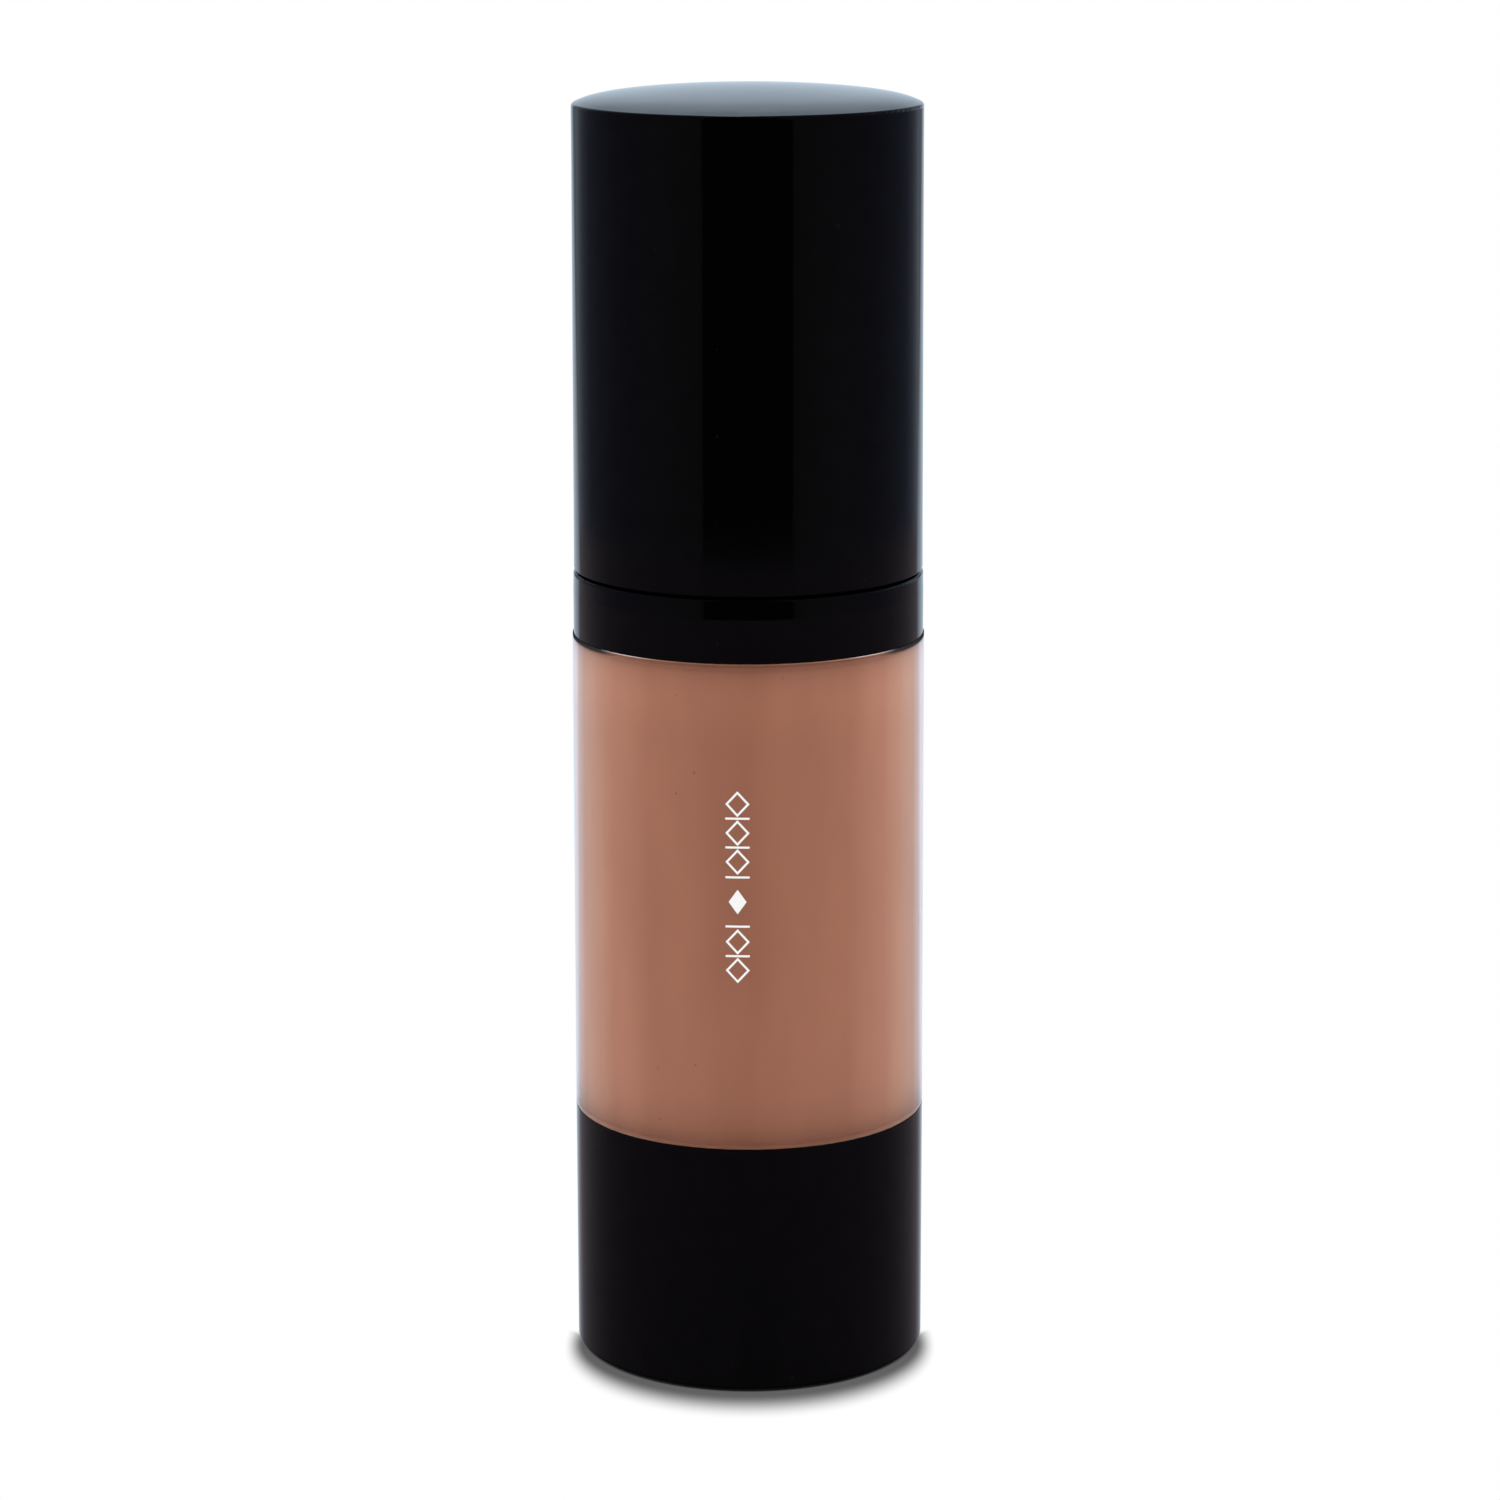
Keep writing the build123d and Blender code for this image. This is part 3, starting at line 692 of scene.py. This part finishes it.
def table_light(tree, bearing):
    """The table, slightly warm and fading away from the sweep."""
    return ramp(tree, bearing, [
        (24 * DEGREE, (0.42, 0.38, 0.43)),
        (30 * DEGREE, (0.25, 0.22, 0.26)),
        (43 * DEGREE, (0.19, 0.167, 0.19)),
        (58 * DEGREE, (0.145, 0.125, 0.145)),
        (76 * DEGREE, (0.1, 0.085, 0.1)),
        (105 * DEGREE, (0.08, 0.066, 0.08)),
        (1.0, (0.063, 0.05, 0.063)),
    ])


def reflected_studio(tree):
    """What glossy surfaces mirror."""
    bearing, rise = bearing_and_rise(tree)
    edge = spread(tree, rise, -0.08, -0.18, 20 * DEGREE, 33 * DEGREE, smooth=False)
    edge = maths(tree, "SUBTRACT", edge, spread(tree, rise, -0.18, -0.33, 0.0, 13 * DEGREE, smooth=False))
    share = maths(tree, "DIVIDE", bearing, edge)
    table = spread(tree, rise, -0.166, -0.175)
    sides = blend(tree, table, room_light(tree, bearing), table_light(tree, bearing))
    around = blend(tree, spread(tree, share, 0.96, 1.04), sweep_light(tree, share, rise), sides)
    return blend(tree, spread(tree, rise, -0.295, -0.5, smooth=False), around, grey(0.03))


def make_light():
    """Even light for what scatters, white for what is seen directly, the studio for what mirrors."""
    world = bpy.data.worlds.new("studio")
    bpy.context.scene.world = world
    world.use_nodes = True
    world.cycles.sampling_method = "NONE"
    tree = world.node_tree
    tree.nodes.clear()
    path = add(tree, "LightPath")
    seen = blend(tree, path.outputs["Is Diffuse Ray"], grey(1.0), grey(SKY))
    seen = blend(tree, path.outputs["Is Glossy Ray"], seen, reflected_studio(tree))
    background = add(tree, "Background", {"Color": seen, "Strength": 1.0})
    output = add(tree, "OutputWorld")
    tree.links.new(background.outputs[0], output.inputs["Surface"])


def make_camera():
    """The camera, and a plain view transform so that colours come out as set."""
    lens = bpy.data.cameras.new("camera")
    lens.lens = LENS
    lens.clip_start = 0.01
    camera = bpy.data.objects.new("camera", lens)
    camera.location = CAMERA_AT
    camera.rotation_euler = (math.pi / 2 - CAMERA_PITCH, CAMERA_ROLL, 0)
    scene = bpy.context.scene
    scene.collection.objects.link(camera)
    scene.camera = camera
    scene.view_settings.view_transform = "Standard"


dress_nodes()
make_liquid()
make_spring_follow()
make_ornament()
make_floor()
make_light()
make_camera()
